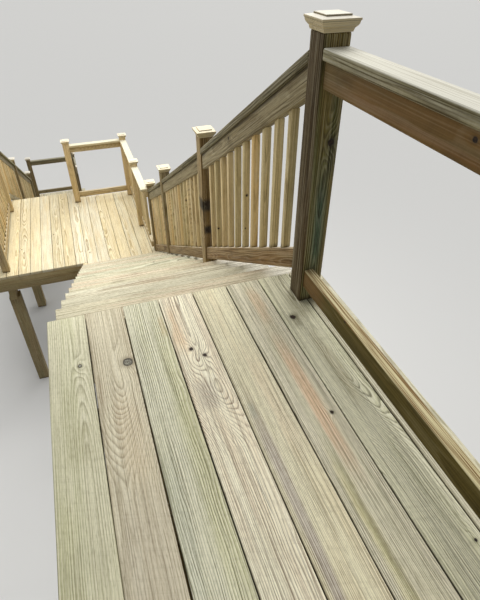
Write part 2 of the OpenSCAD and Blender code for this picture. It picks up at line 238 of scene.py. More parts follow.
    # rings differ in strength
    n = t.t.nodes.new("ShaderNodeTexWhiteNoise")
    n.noise_dimensions = "2D"
    t.put(t.vec(t.math("FLOOR", q), s1, 0.0), n.inputs["Vector"])
    late = t.mul(late, t.rng(n.outputs["Value"], 0.0, 1.0, 0.45, 1.0, smooth=False))
    # and fade in and out along the piece
    fade = t.rng(t.noise(t.vec(t.mul(us, 3.0), t.mul(v, 14), s3), 1.0, 2.0), 0.3, 0.6, 0.4, 1.0)
    late = t.mul(t.mul(late, fade), br)
    pale = t.mul(t.mul(pale, fade), br)

    fib = t.noise(t.vec(t.mul(us, 2.6), t.mul(v, 260), t.add(t.mul(w, 260), s2)), 1.0, 2.0, 0.55)
    fib2 = t.noise(t.vec(t.mul(us, 26), t.mul(v, 900), t.add(t.mul(w, 900), s3)), 1.0, 2.0, 0.6)
    broad = t.noise(t.vec(t.mul(us, 1.5), t.mul(v, 24), t.add(t.mul(w, 24), s1)), 1.0, 3.0, 0.55)
    flk = t.noise(t.vec(t.mul(us, 55), t.mul(v, 300), t.add(t.mul(w, 300), s1)), 1.0, 1.0, 0.5)
    blot = t.noise(t.vec(t.mul(us, 5.0), t.mul(v, 11), t.add(t.mul(w, 11), s2)), 1.0, 3.0, 0.6)
    saw = t.noise(t.vec(t.add(t.mul(us, 210), t.mul(v, 60)), t.mul(v, 9), t.mul(w, 9)), 1.0, 1.0, 0.5)

    cl = t.attr("cl", "Color")
    cd = t.attr("cd", "Color")
    ct = t.attr("ct", "Color")

    def zone(cu, hu, k, cv, hv, wave):
        far = t.math("ABSOLUTE", t.div(t.sub(u, cu), hu))
        side = t.add(t.math("ABSOLUTE", t.div(t.sub(v, cv), hv)), wave)
        return t.mul(k, t.mul(t.rng(far, 0.35, 1.0, 1.0, 0.0), t.rng(side, 0.3, 1.0, 1.0, 0.0)))

    c = t.mix(t.mul(t.rng(broad, 0.42, 0.66), tint), cl, ct)
    patch = zone(zu2, zl2, zs2, yv2, yw2, t.mul(t.sub(blot, 0.5), 1.6))
    late = t.mul(late, t.sub(1.0, t.mul(patch, 0.7)))
    pale = t.mul(pale, t.sub(1.0, t.mul(patch, 0.7)))
    c = t.mix(patch, c, t.attr("cz2", "Color"))
    c = t.mix(zone(zu3, zl3, zs3, yv3, yw3, t.mul(t.sub(blot, 0.5), 1.2)), c, t.attr("cz3", "Color"))
    c = t.mix(zone(zu, zl, zs, yv, yw, t.mul(t.sub(broad, 0.5), 1.2)), c, t.attr("cz", "Color"))
    c = t.mix(t.mul(pale, ring * pale_k), c, lin(*white))
    c = t.mix(t.mul(late, ring), c, cd)
    c = t.mix(t.mul(t.mul(t.rng(fib, 0.46, 0.70), streak), sk), c, cd)
    c = t.mix(t.mul(t.mul(t.rng(fib, 0.52, 0.34), streak * dry), sm), c, t.mix(0.5, cl, lin(*white)))
    c = t.mix(t.mul(t.mul(t.rng(fib2, 0.5, 0.75), streak * 0.6), sm), c, cd)
    c = t.mix(t.mul(t.mul(t.rng(flk, 0.50, 0.72), fleck), sm), c, cd)
    c = t.mix(t.mul(t.mul(t.rng(flk, 0.50, 0.30), fleck * dry), sm), c, t.mix(0.5, cl, lin(*white)))
    c = t.mix(t.mul(t.rng(blot, 0.52, 0.78), stain), c, cd, "MULTIPLY")
    c = t.mix(t.mul(t.rng(saw, 0.45, 0.75), mill * 4), c, t.mix(0.35, c, cd))

    # knots and cracks
    c = t.mix(t.mul(halo, 0.4), c, cd)
    grain = t.rng(t.noise(t.vec(t.mul(u, 200), t.mul(v, 200), s2), 1.0, 2.0), 0.35, 0.65)
    kc = t.mix(grain, lin(92, 88, 76), lin(146, 144, 130))
    kc = t.mix(dead, kc, t.mix(grain, lin(30, 22, 15), lin(62, 46, 32)))
    c = t.mix(knot, c, kc)
    c = t.mix(t.mul(rim, 0.8), c, lin(46, 38, 30))
    cv, cu, ch = t.sep(t.attr("wc"))
    wig = t.mul(t.sub(t.noise(t.vec(t.mul(u, 14), s1, s2), 1.0, 2.0), 0.5), 0.006)
    crack = t.mul(t.bell(t.div(t.sub(t.sub(v, cv), wig), 0.0011)), t.rng(t.math("ABSOLUTE", t.div(t.sub(u, cu), t.math("MAXIMUM", ch, 0.001))), 0.6, 1.0, 1.0, 0.0))
    crack = t.mul(crack, t.math("GREATER_THAN", ch, 0.002))
    c = t.mix(t.mul(crack, 0.75), c, lin(52, 40, 30))

    # eased edges are painted paler: a painted highlight, partly worn wood
    we = t.attr("we", "Fac")
    g = t.t.nodes.new("ShaderNodeNewGeometry")
    nx, ny, nz = t.sep(g.outputs["Normal"])
    up = t.rng(nz, 0.3, 0.9)
    c = t.mix(t.mul(t.math("MAXIMUM", we, 0.0), edge), c, t.mix(0.25, lin(246, 238, 210), cl))
    # edges and faces marked below 0 are painted dark: mostly painted shade, and the darker end grain of rails and
    # balusters
    c = t.mix(t.mul(t.math("MAXIMUM", t.mul(we, -1.0), 0.0), 0.8), c, lin(44, 34, 22))
    # a darker band where wf is small: at the bottom of upright pieces, and painted shade, partly dirt, under the
    # nosings and the cap rails
    foot = t.rng(t.add(t.attr("wf", "Fac"), t.mul(t.sub(blot, 0.5), 0.06)), 0.0, 0.035, 1.0, 0.0)
    c = t.mix(t.mul(foot, 0.72), c, lin(64, 49, 30))
    # up-facing faces are painted paler: painted sunlight on the tops
    if top:
        up = t.mul(t.mul(up, top), t.attr("wt", "Fac"))
        c = t.mix(up, c, t.mix(t.mul(t.math("MAXIMUM", late, t.rng(fib, 0.42, top_fib)), top_line), lin(*white), lin(*top_dark) if top_dark else t.mix(0.35, cl, cd)))

    bs = t.t.nodes.new("ShaderNodeBsdfPrincipled")
    t.put(c, bs.inputs["Base Color"])
    t.put(t.add(t.mul(late, -0.10), t.add(t.mul(fib, 0.12), rough - 0.06)), bs.inputs["Roughness"])
    bs.inputs["Specular IOR Level"].default_value = 0.25
    h = t.add(t.mul(fib, 0.6), t.mul(fib2, 0.4))
    h = t.add(h, t.mul(saw, 0.25))
    b = t.t.nodes.new("ShaderNodeBump")
    b.inputs["Strength"].default_value = bump
    b.inputs["Distance"].default_value = 0.0008
    t.put(h, b.inputs["Height"])
    t.put(b.outputs["Normal"], bs.inputs["Normal"])
    out = t.t.nodes.new("ShaderNodeOutputMaterial")
    t.put(bs.outputs[0], out.inputs["Surface"])
    return mat


MATS = {
    "deck_board": wood_material("wood_deck_board", ring=1.0, tint=0.6, streak=0.36, stain=0.12, edge=0.85, fleck=0.2, pale_k=0.45, white=(250, 246, 226)),
    "tread": wood_material("wood_tread", ring=0.9, tint=0.8, streak=0.5, stain=0.3, edge=0.4, fleck=0.35, pale_k=0.5),
    "cap_rail": wood_material("wood_cap_rail", ring=0.85, tint=0.6, top=0.85, stain=0.5, streak=0.6, edge=0.35, white=(226, 224, 204)),
    "upper_cap_rails": wood_material("wood_cap_rail_deck", ring=0.85, tint=0.6, top=0.9, stain=0.5, streak=0.6, edge=0.35, white=(234, 232, 218)),
    "post_cap": wood_material("wood_post_cap", ring=0.5, tint=0.4, top=0.95, stain=0.1, streak=0.3, edge=0.2, mill=0.0, white=(255, 250, 236), top_line=0.4),
    "guard_post": wood_material("wood_guard_post", ring=0.85, tint=0.85, stain=0.5, streak=0.8, fleck=0.1, edge=0.3, bump=0.6, dry=0.4),
    "rail": wood_material("wood_rail", ring=0.8, tint=0.7, top=0.55, top_line=0.95, top_fib=0.6, stain=0.35, streak=0.6, fleck=0.1, edge=0.75, mill=0.06, dry=0.45),
    # its up-facing faces are painted pale with dark lines: painted light
    "upper_bottom_rails": wood_material("wood_rail_lit_top", ring=0.8, tint=0.7, top=0.85, top_line=0.95, top_fib=0.58, white=(224, 212, 166), top_dark=(122, 88, 40),
                                        stain=0.35, streak=0.6, fleck=0.1, edge=0.45, mill=0.06, dry=0.3),
    "baluster": wood_material("wood_baluster", ring=0.8, tint=0.7, stain=0.35, streak=0.6, edge=0.8),
    "framing": wood_material("wood_framing", ring=0.7, tint=0.6, stain=0.3, streak=0.5, edge=0.15, mill=0.12),
    "support_post": wood_material("wood_support_post", ring=0.75, tint=0.7, stain=0.35, streak=0.5, edge=0.2, mill=0.12),
}

# Light, dark and tint colour of the lumber in each slot or node
TONES = {
    "deck_board": [((214, 206, 176), (130, 116, 82), (208, 204, 166)), ((210, 200, 168), (124, 108, 74), (220, 204, 176))],
    # paler and yellower than the deck boards, mostly painted light
    "landing_boards": [((234, 226, 192), (138, 108, 62), (226, 200, 136)), ((230, 216, 174), (132, 102, 54), (236, 230, 200)),
                       ((236, 230, 202), (144, 114, 70), (228, 204, 146)), ((230, 214, 168), (128, 96, 48), (232, 222, 184))],
    "tread": [((210, 205, 178), (106, 88, 58), (196, 192, 158)), ((206, 200, 170), (100, 82, 52), (214, 192, 164)),
              ((214, 210, 184), (110, 92, 64), (204, 186, 156)), ((206, 206, 178), (104, 90, 58), (198, 198, 166))],
    "cap_rail": [((164, 154, 120), (74, 62, 36), (138, 134, 96)), ((158, 148, 112), (70, 58, 32), (132, 130, 92))],
    "upper_cap_rails": [((172, 162, 126), (80, 67, 40), (144, 140, 101))],
    "flight1_cap_rails": [((142, 132, 98), (50, 41, 22), (112, 108, 70)), ((136, 124, 90), (46, 38, 20), (118, 112, 74))],
    # painted light: paler than the same cap rail elsewhere
    "landing_cap_rails": [((224, 212, 174), (150, 124, 78), (212, 196, 148))],
    "post_cap": [((224, 208, 168), (150, 124, 80), (210, 196, 148))],
    "guard_post": [((158, 134, 86), (68, 48, 22), (130, 118, 74)), ((154, 128, 80), (64, 46, 20), (134, 118, 72))],
    # painted light: paler than the other guard posts
    "landing_guard_posts": [((222, 198, 148), (140, 108, 62), (206, 186, 134))],
    "rail": [((158, 146, 112), (78, 64, 38), (138, 128, 92)), ((152, 138, 102), (72, 56, 32), (142, 128, 90))],
    "flight1_sub_rails": [((170, 158, 124), (84, 70, 44), (150, 140, 104)), ((164, 150, 114), (78, 62, 38), (154, 140, 102))],
    "flight1_bottom_rails": [((162, 132, 84), (62, 42, 20), (150, 112, 66)), ((154, 126, 80), (58, 40, 18), (142, 112, 68))],
    # painted light: the landing's rails, on this line and the next, are paler than the same rails elsewhere
    "landing_sub_rails": [((208, 188, 142), (124, 96, 56), (196, 176, 128))],
    "landing_bottom_rails": [((200, 178, 132), (120, 92, 54), (188, 168, 118))],
    "baluster": [((248, 224, 170), (138, 102, 54), (234, 210, 148)), ((242, 208, 142), (128, 90, 42), (246, 222, 166)),
                 ((252, 234, 188), (150, 116, 68), (236, 210, 150)), ((230, 210, 156), (118, 92, 50), (220, 202, 150))],
    "framing": [((190, 170, 120), (118, 94, 56), (168, 160, 110)), ((182, 160, 110), (110, 86, 50), (174, 162, 112))],
    "support_post": [((178, 156, 108), (106, 82, 48), (156, 150, 102))],
}

# Pieces listed one by one, in the house frame. knots: x, y, z, radius. ramp: place along, half length, rise of the
# pith.
# zone: x, y, z, half length, half width, strength and its colour. crack: x, y, z, half length.
DECK = {
    0: dict(knots=[(0.101, -0.282, 0, 0.0080)], pith=(0.028, 0.010, 0.0060), ramp=(-0.44, 0.26, -0.028), flow=(0.3, 0.35, 0.5), seed=(3.1, 8.2, 1.7), grey=1.0, bow=(-0.45, 0.0017),
            tones=((204, 200, 170), (100, 94, 64), (194, 193, 156)), zone=(0.055, -0.45, 0, 0.10, 0.035, 0.35, (160, 156, 120)),
            zone2=(0.075, -0.60, 0, 0.10, 0.05, 0.35, (156, 150, 112)), zone3=(0.02, -0.95, 0, 0.25, 0.05, 0.4, (188, 186, 140))),
    1: dict(knots=[(0.259, -0.316, 0, 0.0185)], pith=(0.014, -0.090, 0.0047), ramp=(-0.56, 0.24, 0.064), drift=-0.05, flow=(0.25, 1.1, 0.5), streaky=0.3, seed=(11.4, 2.2, 7.9), grey=1.0, bow=(-0.45, -0.0015),
            tones=((210, 201, 173), (92, 76, 50), (202, 190, 160)), zone=(0.155, -0.42, 0, 0.10, 0.012, 0.5, (142, 122, 92)),
            zone2=(0.215, -1.05, 0, 0.34, 0.09, 0.6, (184, 174, 152)), zone3=(0.22, -0.62, 0, 0.22, 0.05, 0.35, (208, 186, 152))),
    2: dict(knots=[], pith=(0.095, -0.020, 0.0060), flow=(1.0, 1.5, 1.0), streaky=0.3, seed=(5.5, 31.2, 4.4),
            tones=((216, 213, 186), (76, 72, 38), (203, 201, 165)), zone=(0.40, -0.70, 0, 0.75, 0.045, 0.55, (192, 190, 132)),
            zone2=(0.41, -0.17, 0, 0.08, 0.018, 0.5, (200, 164, 116)), zone3=(0.30, -0.95, 0, 0.30, 0.03, 0.35, (188, 194, 176))),
    3: dict(knots=[(0.482, -0.325, 0, 0.0078), (0.521, -0.370, 0, 0.0082), (0.497, -0.455, 0, -0.018)], pith=(-0.004, -0.050, 0.0049), ramp=(-0.59, 0.20, 0.046), drift=0.08,
            flow=(0.15, 1.0, 0.9), streaky=0.5, seed=(21.7, 9.3, 14.1), tones=((247, 240, 211), (92, 66, 42), (236, 218, 188)),
            zone=(0.478, -0.545, 0, 0.085, 0.05, 0.55, (164, 154, 140)), zone2=(0.455, -0.20, 0, 0.17, 0.032, 0.6, (228, 190, 144)),
            zone3=(0.47, -1.15, 0, 0.20, 0.08, 0.4, (220, 216, 186)), crack=(0.527, -0.915, 0, 0.075)),
    4: dict(knots=[], pith=(-0.13, -0.02, 0.0040), flow=(0.5, 0.8, 0.95), streaky=0.5, seed=(8.8, 15.1, 22.6),
            tones=((236, 229, 194), (96, 78, 48), (228, 213, 174)), zone=(0.596, -1.02, 0, 0.50, 0.021, 0.85, (174, 162, 154)),
            zone2=(0.595, -0.657, 0, 0.045, 0.016, 0.6, (172, 184, 164)), zone3=(0.67, -0.62, 0, 0.30, 0.035, 0.35, (226, 200, 166))),
    5: dict(knots=[(0.825, -0.741, 0, 0.0066)], pith=(0.125, -0.020, 0.0044), ramp=(-0.85, 0.45, 0.012), flow=(0.6, 1.3, 0.95), streaky=0.5, seed=(14.9, 6.6, 30.3),
            tones=((224, 216, 188), (80, 72, 44), (205, 200, 165)), zone=(0.792, -0.66, 0, 0.38, 0.036, 0.85, (228, 188, 148)),
            zone2=(0.797, -0.17, 0, 0.16, 0.034, 0.6, (214, 180, 144)), zone3=(0.750, -1.12, 0, 0.34, 0.022, 0.7, (206, 198, 138))),
    # the first zone of this board darkens the deck round the post's foot: painted shade, partly stain
    6: dict(knots=[(0.898, -0.281, 0, 0.0115), (0.975, -1.207, 0, 0.0045)], pith=(0.020, -0.046, 0.0048), ramp=(-0.78, 0.22, 0.040), drift=0.07, flow=(0.2, 1.9, 0.85), streaky=0.5,
            seed=(27.2, 18.4, 2.5), tones=((229, 225, 194), (84, 78, 46), (205, 203, 163)), zone=(0.955, -0.20, 0, 0.13, 0.05, 0.55, (146, 138, 102)),
            zone2=(0.905, -0.30, 0, 0.06, 0.035, 0.6, (116, 108, 76)), zone3=(0.925, -0.56, 0, 0.24, 0.03, 0.5, (176, 164, 122))),
    # the second zone of this board darkens the deck round the post's foot: painted shade, partly stain
    7: dict(knots=[], pith=(0.06, -0.09, 0.0046), flow=(0.5, 0.6, 0.7), streaky=0.6, seed=(33.3, 4.1, 12.0),
            tones=((232, 226, 198), (118, 106, 74), (224, 218, 184)), zone2=(1.03, -0.17, 0, 0.10, 0.06, 0.6, (120, 112, 78))),
}
UPPER_POSTS = {
    # zone2 paints the post's left face dark: painted shade
    2: dict(knots=[(1.021, -0.2, 0.639, 0.0120)], pith=(0.010, -0.012, 0.0050), flow=(0.8, 0.9, 0.9), seed=(4.4, 17.2, 9.1),
            tones=((148, 128, 64), (44, 32, 8), (104, 108, 50)), zone=(1.008, -0.2, 0.33, 0.24, 0.032, 0.75, (78, 122, 104)),
            zone2=(0.957, -0.2, 0.5, 3.0, 0.011, 0.95, (70, 48, 8)), zone3=(1.03, -0.2, 0.60, 0.10, 0.02, 0.6, (70, 78, 50))),
}
FLIGHT1_POSTS = {
    # zone3 paints the post's left face pale: painted light
    0: dict(knots=[(0.985, 1.29, -0.279, 0.0122), (0.983, 1.29, -0.477, 0.0118), (1.02, 1.29, 0.072, 0.008)], pith=(0.02, 0.01, 0.0050), flow=(0.8, 1.0, 0.8), seed=(14.4, 7.2, 19.1),
            tones=((146, 114, 56), (46, 30, 8), (118, 93, 40)), zone=(0.995, 1.29, -0.29, 0.06, 0.09, 1.0, (28, 18, 8)),
            zone2=(0.995, 1.29, -0.477, 0.045, 0.09, 1.0, (28, 18, 8)), zone3=(0.957, 1.29, 0.0, 3.0, 0.010, 0.85, (200, 172, 122))),
}
UPPER_SUB = {
    1: dict(knots=[(0.97, -0.832, 0.863, 0.0062)], pith=(0.02, 0.14, 0.0075), flow=(0.6, 0.7, 0.35), seed=(9.4, 3.2, 29.1), streaky=-0.6,
            tones=((134, 102, 56), (64, 43, 16), (116, 93, 47)), zone=(0.97, -1.1, 0.826, 1.2, 0.014, 0.5, (136, 96, 54)),
            zone2=(0.97, -0.2, 0.85, 0.22, 0.08, 0.5, (100, 92, 56))),
}
UPPER_BOTTOM = {
    # zone2 darkens the rail next to the post: a painted shadow of the post
    1: dict(knots=[(0.989, -0.519, 0.151, 0.006)], pith=(0.0, 0.12, 0.0065), flow=(0.6, 0.8, 0.5), seed=(19.4, 23.2, 2.1), streaky=-0.5,
            tones=((94, 80, 28), (32, 23, 2), (76, 68, 20)), zone2=(0.97, -0.25, 0.11, 0.16, 0.08, 0.7, (124, 90, 50))),
}
BALUSTERS = {4: dict(knots=[(0.992, 0.515, 0.135, 0.006), (0.985, 0.515, -0.05, 0.004)]), 8: dict(knots=[(0.984, 1.02, -0.316, 0.006)]),
             14: dict(knots=[(0.988, 1.8, -0.56, 0.006)])}
SPECIAL = {"flight1_balusters": BALUSTERS, "upper_deck_boards": DECK, "upper_guard_posts": UPPER_POSTS, "flight1_guard_posts": FLIGHT1_POSTS,
           "upper_sub_rails": UPPER_SUB, "upper_bottom_rails": UPPER_BOTTOM}


# How much more streaky than the rest the lumber of a node is
STREAKY = {"flight1_sub_rails": 0.2, "flight1_bottom_rails": 0.4, "flight1_cap_rails": 0.4, "flight1_treads": 0.3, "upper_cap_rails": 0.5, "landing_boards": 0.3}

# How much the faces that see the sky get painted light, where it is less than elsewhere
TOP_PAINTED_LIGHT = {"flight1_cap_rails": 0.2, "flight2_cap_rails": 0.2, "flight1_post_caps": 0.35, "landing_post_caps": 0.45}

# Direction of the rear edge of the treads
REAR = {"flight1_treads": Vector((0, -1, 0)), "flight2_treads": Vector((1, 0, 0))}


def islands(bm):
    """The faces of each solid. Solids that touch along an edge alone stay apart."""
    seen = set()
    out = []
    for seed in bm.faces:
        if seed in seen:
            continue
        seen.add(seed)
        group, stack = [seed], [seed]
        while stack:
            for e in stack.pop().edges:
                if len(e.link_faces) == 2:
                    for f in e.link_faces:
                        if f not in seen:
                            seen.add(f)
                            group.append(f)
                            stack.append(f)
        out.append(group)

    def middle(g):
        co = [x.co for f in g for x in f.verts]
        return tuple(round((min(c[i] for c in co) + max(c[i] for c in co)) / 2, 3) for i in range(3))

    out.sort(key=middle)
    return out


def piece_frame(bm):
    """Grain, width and thickness directions of one piece of lumber."""
    e = max((x for x in bm.edges if len(x.link_faces) == 2 and x.calc_face_angle(0) > 0.1), key=lambda x: x.calc_length())
    g = (e.verts[1].co - e.verts[0].co).normalized()
    if max(g, key=abs) < 0:
        g = -g
    # widest face direction at right angles to the grain
    best = None
    for a in (Vector((1, 0, 0)), Vector((0, 1, 0)), Vector((0, 0, 1))):
        c = a - g * a.dot(g)
        if c.length < 0.3:
            continue
        c.normalize()
        d = [x.co.dot(c) for x in bm.verts]
        s = max(d) - min(d)
        if best is None or s > best[0] + 1e-3:
            best = (s, c)
    wdir = best[1]
    tdir = g.cross(wdir).normalized()
    if tdir.z < -1e-6 or (abs(tdir.z) < 1e-6 and max(tdir, key=abs) < 0):
        tdir = -tdir
    co = [x.co for x in bm.verts]
    lo = Vector([min(c.dot(a) for c in co) for a in (g, wdir, tdir)])
    hi = Vector([max(c.dot(a) for c in co) for a in (g, wdir, tdir)])
    return g, wdir, tdir, lo, hi


NAMES = ("wu", "ws", "wp", "wa", "wb", "wk0", "wk1", "wk2", "wz", "wy", "wz2", "wy2", "wz3", "wy3", "wc")
COLS = ("cl", "cd", "ct", "cz", "cz2", "cz3")


class Piece:
    """Collects the lumber of one node in one mesh."""

    def __init__(self, node, slot):
        self.node, self.slot = node, slot
        self.rnd = random.Random(sum(ord(c) * (i + 1) for i, c in enumerate(node)))
        self.bm = bmesh.new()
        self.lay = {n: self.bm.verts.layers.float_vector.new(n) for n in NAMES}
        self.col = {n: self.bm.verts.layers.float_color.new(n) for n in COLS}
        self.we = self.bm.faces.layers.float.new("we")
        self.wf = self.bm.verts.layers.float.new("wf")
        self.wt = self.bm.verts.layers.float.new("wt")

    def add(self, bm, axes, lo, hi, eased={}, sp=None, knots=0.0, foot=None):
        rnd = self.rnd
        g, wd, td = axes
        mid = (lo + hi) / 2
        size = hi - lo
        sp = sp or {}

        def loc(x, y, z):
            p = Vector((x, y, z)) + OFF
            return p.dot(g) - mid[0], p.dot(wd) - mid[1]

        tones = sp.get("tones") or rnd.choice(TONES.get(self.node) or TONES[self.slot])
        jit = 1.0 if "tones" in sp else rnd.uniform(0.90, 1.05)
        cols = [tuple(min(1.0, c * jit) for c in lin(*t)[:3]) + (1.0,) for t in tones]
        val = {"ws": Vector(sp.get("seed") or (rnd.uniform(0, 60), rnd.uniform(0, 60), rnd.uniform(0, 60)))}
        if "pith" in sp:
            val["wp"] = Vector(sp["pith"])
        elif rnd.random() < 0.5:
            val["wp"] = Vector((rnd.uniform(-0.3, 0.3) * size[1], -rnd.uniform(0.04, 0.12), rnd.uniform(0.0042, 0.0062)))
        else:
            val["wp"] = Vector((rnd.choice((-1, 1)) * rnd.uniform(0.07, 0.15), rnd.uniform(-0.07, 0.02), rnd.uniform(0.0040, 0.0056)))
        if "ramp" in sp:
            a, h, rise = sp["ramp"]
            val["wa"] = Vector((a + OFF.dot(g) - mid[0], h, rise))
        elif rnd.random() < 0.5 and not sp:
            val["wa"] = Vector((rnd.uniform(-0.4, 0.4) * size[0], rnd.uniform(0.25, 0.6), rnd.uniform(-0.07, 0.07)))
        else:
            val["wa"] = Vector((0, 1, 0))
        val["wb"] = Vector(sp.get("flow") or (rnd.uniform(0.4, 1.0), rnd.uniform(0.5, 1.1), rnd.uniform(0.75, 1.0)))
        kn = []
        if "knots" in sp:
            for (x, y, z, rad) in sp["knots"]:
                kn.append(Vector(loc(x, y, z) + (rad,)))
        elif size[0] > 0.4:
            for i in range(2):
                if rnd.random() < knots:
                    kn.append(Vector((rnd.uniform(-0.46, 0.46) * size[0], rnd.uniform(-0.3, 0.3) * size[1], rnd.uniform(0.07, 0.13) * min(0.07, size[1]))))
        while len(kn) < 3:
            kn.append(Vector((0, 0, 0)))
        for i in range(3):
            val["wk%d" % i] = kn[i]
        for n, key in (("", "zone"), ("2", "zone2"), ("3", "zone3")):
            x, y, z, zl, zw, zs, zc = sp.get(key) or (0, 0, 0, 1, 1, 0, (128, 128, 128))
            a, b = loc(x, y, z)
            val["wz" + n], val["wy" + n] = Vector((a, zl, zs)), Vector((b, zw, 0))
            cols.append(lin(*zc))
        val["wy"].z = sp.get("streaky", 0.0)
        val["wy2"].z = sp.get("grey", 0.0)
        val["wy3"].z = sp.get("drift", 0.0)
        if "crack" in sp:
            x, y, z, ch = sp["crack"]
            a, b = loc(x, y, z)
            val["wc"] = Vector((b, a, ch))
        else:
            val["wc"] = Vector((0, 0, 0))
        mp = {}
        for x in bm.verts:
            nv = self.bm.verts.new(x.co)
            c = x.co
            nv[self.lay["wu"]] = Vector((c.dot(g) - mid[0], c.dot(wd) - mid[1], c.dot(td) - mid[2]))
            for n, q in val.items():
                nv[self.lay[n]] = q
            for n, q in zip(COLS, cols):
                nv[self.col[n]] = q
            nv[self.wt] = TOP_PAINTED_LIGHT.get(self.node, 1.0)
            nv[self.wf] = foot(c) if foot else c.dot(g) - lo[0] if g.z > 0.9 else 1.0
            mp[x] = nv
        for f in bm.faces:
            nf = self.bm.faces.new([mp[x] for x in f.verts])
            nf.smooth = True
            nf[self.we] = eased.get(f, 0.0)

    def done(self):
        me = bpy.data.meshes.new(self.node + "_lumber")
        self.bm.to_mesh(me)
        self.bm.free()
        me.set_sharp_from_angle(angle=math.radians(28 if self.slot == "post_cap" else 50))
        ob = bpy.data.objects.new(self.node + "_lumber", me)
        bpy.context.scene.collection.objects.link(ob)
        me.materials.append(MATS.get(self.node) or MATS[self.slot])
        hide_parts(self.node)
        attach(ob, "root")
        return ob


def solids(node):
    """Each solid of a CAD node as a mesh of its own."""
    whole = bmesh.new()
    whole.from_mesh(frame["nodes"][node].data)
    bmesh.ops.remove_doubles(whole, verts=whole.verts[:], dist=1e-5)
    out = []
    for group in islands(whole):
        bm = bmesh.new()
        idx = {}
        for f in group:
            for x in f.verts:
                if x not in idx:
                    idx[x] = bm.verts.new(x.co)
            try:
                bm.faces.new([idx[x] for x in f.verts])
            except ValueError:
                pass
        out.append(bm)
    whole.free()
    return out


def lumber(node, slot, bevel=0.003, segs=2, sag=0.0, knots=0.0, capped=False):
    """Replaces a CAD node with the same lumber, each piece with eased edges and its own grain, knots and colour.
    capped: another piece lies on it, and painted shade goes along its top edges."""
    p = Piece(node, slot)
    rnd = p.rnd
    all_solids = solids(node)
    boxes = []
    for bm in all_solids:
        boxes.append([(min(x.co[i] for x in bm.verts), max(x.co[i] for x in bm.verts)) for i in range(3)])
    rear = REAR.get(node)

    def inside(q, skip):
        return any(i != skip and all(b[j][0] <= q[j] <= b[j][1] for j in range(3)) for i, b in enumerate(boxes))

    for k, bm in enumerate(all_solids):
        bmesh.ops.dissolve_limit(bm, angle_limit=math.radians(0.6), verts=bm.verts[:], edges=bm.edges[:])
        bmesh.ops.recalc_face_normals(bm, faces=bm.faces[:])
        g, wd, td, lo, hi = piece_frame(bm)
        mid = (lo + hi) / 2
        size = hi - lo
        flat = set(bm.faces)
        if bevel:
            sharp = [e for e in bm.edges if len(e.link_faces) == 2 and e.calc_face_angle(0) > math.radians(25)]
            made = bmesh.ops.bevel(bm, geom=sharp, offset=min(bevel, size[2] * 0.3), segments=segs, profile=0.5, affect="EDGES", clamp_overlap=True)
            eased = set(made["faces"])
        else:
            eased = set()
        mark = bm.faces.layers.int.new("mark")
        for f in bm.faces:
            f[mark] = 1 if f in eased else 0
        if sag and size[0] > 0.6:
            n = max(2, int(size[0] / 0.22))
            for i in range(1, n):
                q = g * (lo[0] + size[0] * i / n)
                bmesh.ops.bisect_plane(bm, geom=bm.verts[:] + bm.edges[:] + bm.faces[:], plane_co=q, plane_no=g)
            a1, a2, p1, p2 = rnd.uniform(0.4, 1.0), rnd.uniform(0.2, 0.6), rnd.uniform(0, 6.3), rnd.uniform(0, 6.3)
            bow = (SPECIAL.get(node, {}).get(k) or {}).get("bow")
            for x in bm.verts:
                uu = x.co.dot(g) - mid[0]
                x.co += wd * (sag * (a1 * math.sin(uu * 2.1 + p1) + a2 * math.sin(uu * 6.3 + p2)) * 0.6)
                if bow:
                    # the board bends sideways towards its near end
                    q = min(1.0, max(0.0, (bow[0] + OFF.dot(g) - mid[0] - uu) / 0.6))
                    x.co += wd * bow[1] * q * q * (3 - 2 * q)
        bm.normal_update()
        ends = {}
        for f in bm.faces:
            if f[mark]:
                ends[f] = 1.0
                # painted shade under the piece that lies on it
                if capped and f.normal.z > 0.2:
                    ends[f] = -1.0
                # painted shade on the deck boards' edges that face away from the light
                if slot == "deck_board" and f.normal.x < -0.2:
                    ends[f] = -0.9
                # painted shade from the nosing of the tread above
                if rear and f.normal.dot(rear) > 0.2:
                    ends[f] = -0.7
                if slot in ("rail", "baluster", "cap_rail") and abs(f.normal.dot(g)) > 0.3:
                    ends[f] = -0.4
                # painted shade under the cap rail
                if slot == "cap_rail" and f.normal.z < -0.2:
                    ends[f] = -1.0
            # painted shade on the faces in the gaps between boards
            elif slot in ("deck_board", "tread") and abs(f.normal.dot(wd)) > 0.9 and inside(f.calc_center_median() + f.normal * 0.012, k):
                ends[f] = -1.0
        sp = dict(SPECIAL.get(node, {}).get(k) or {})
        if node in STREAKY:
            sp["streaky"] = STREAKY[node]
        if node == "flight1_treads":
            # the ends past the guard are painted bright: painted sunlight
            sp["zone"] = (1.12, 0, 0, 0.15, 10, 0.8, (250, 248, 236))
        foot = None
        if rear and not inside(sum((x.co for x in bm.verts), Vector()) / len(bm.verts) + rear * 0.1, k):
            # painted shade from the nosing above, partly dirt, along the rear edge of a tread
            back = max(x.co.dot(rear) for x in bm.verts)
            foot = lambda c: back - c.dot(rear)
        elif rear:
            foot = lambda c: 1.0
        elif node == "flight1_sub_rails":
            # and painted shade under the cap rail
            foot = lambda c: (hi[1] - c.dot(wd)) * 2
        p.add(bm, (g, wd, td), lo, hi, ends, sp, knots, foot)
        bm.free()
    return p.done()


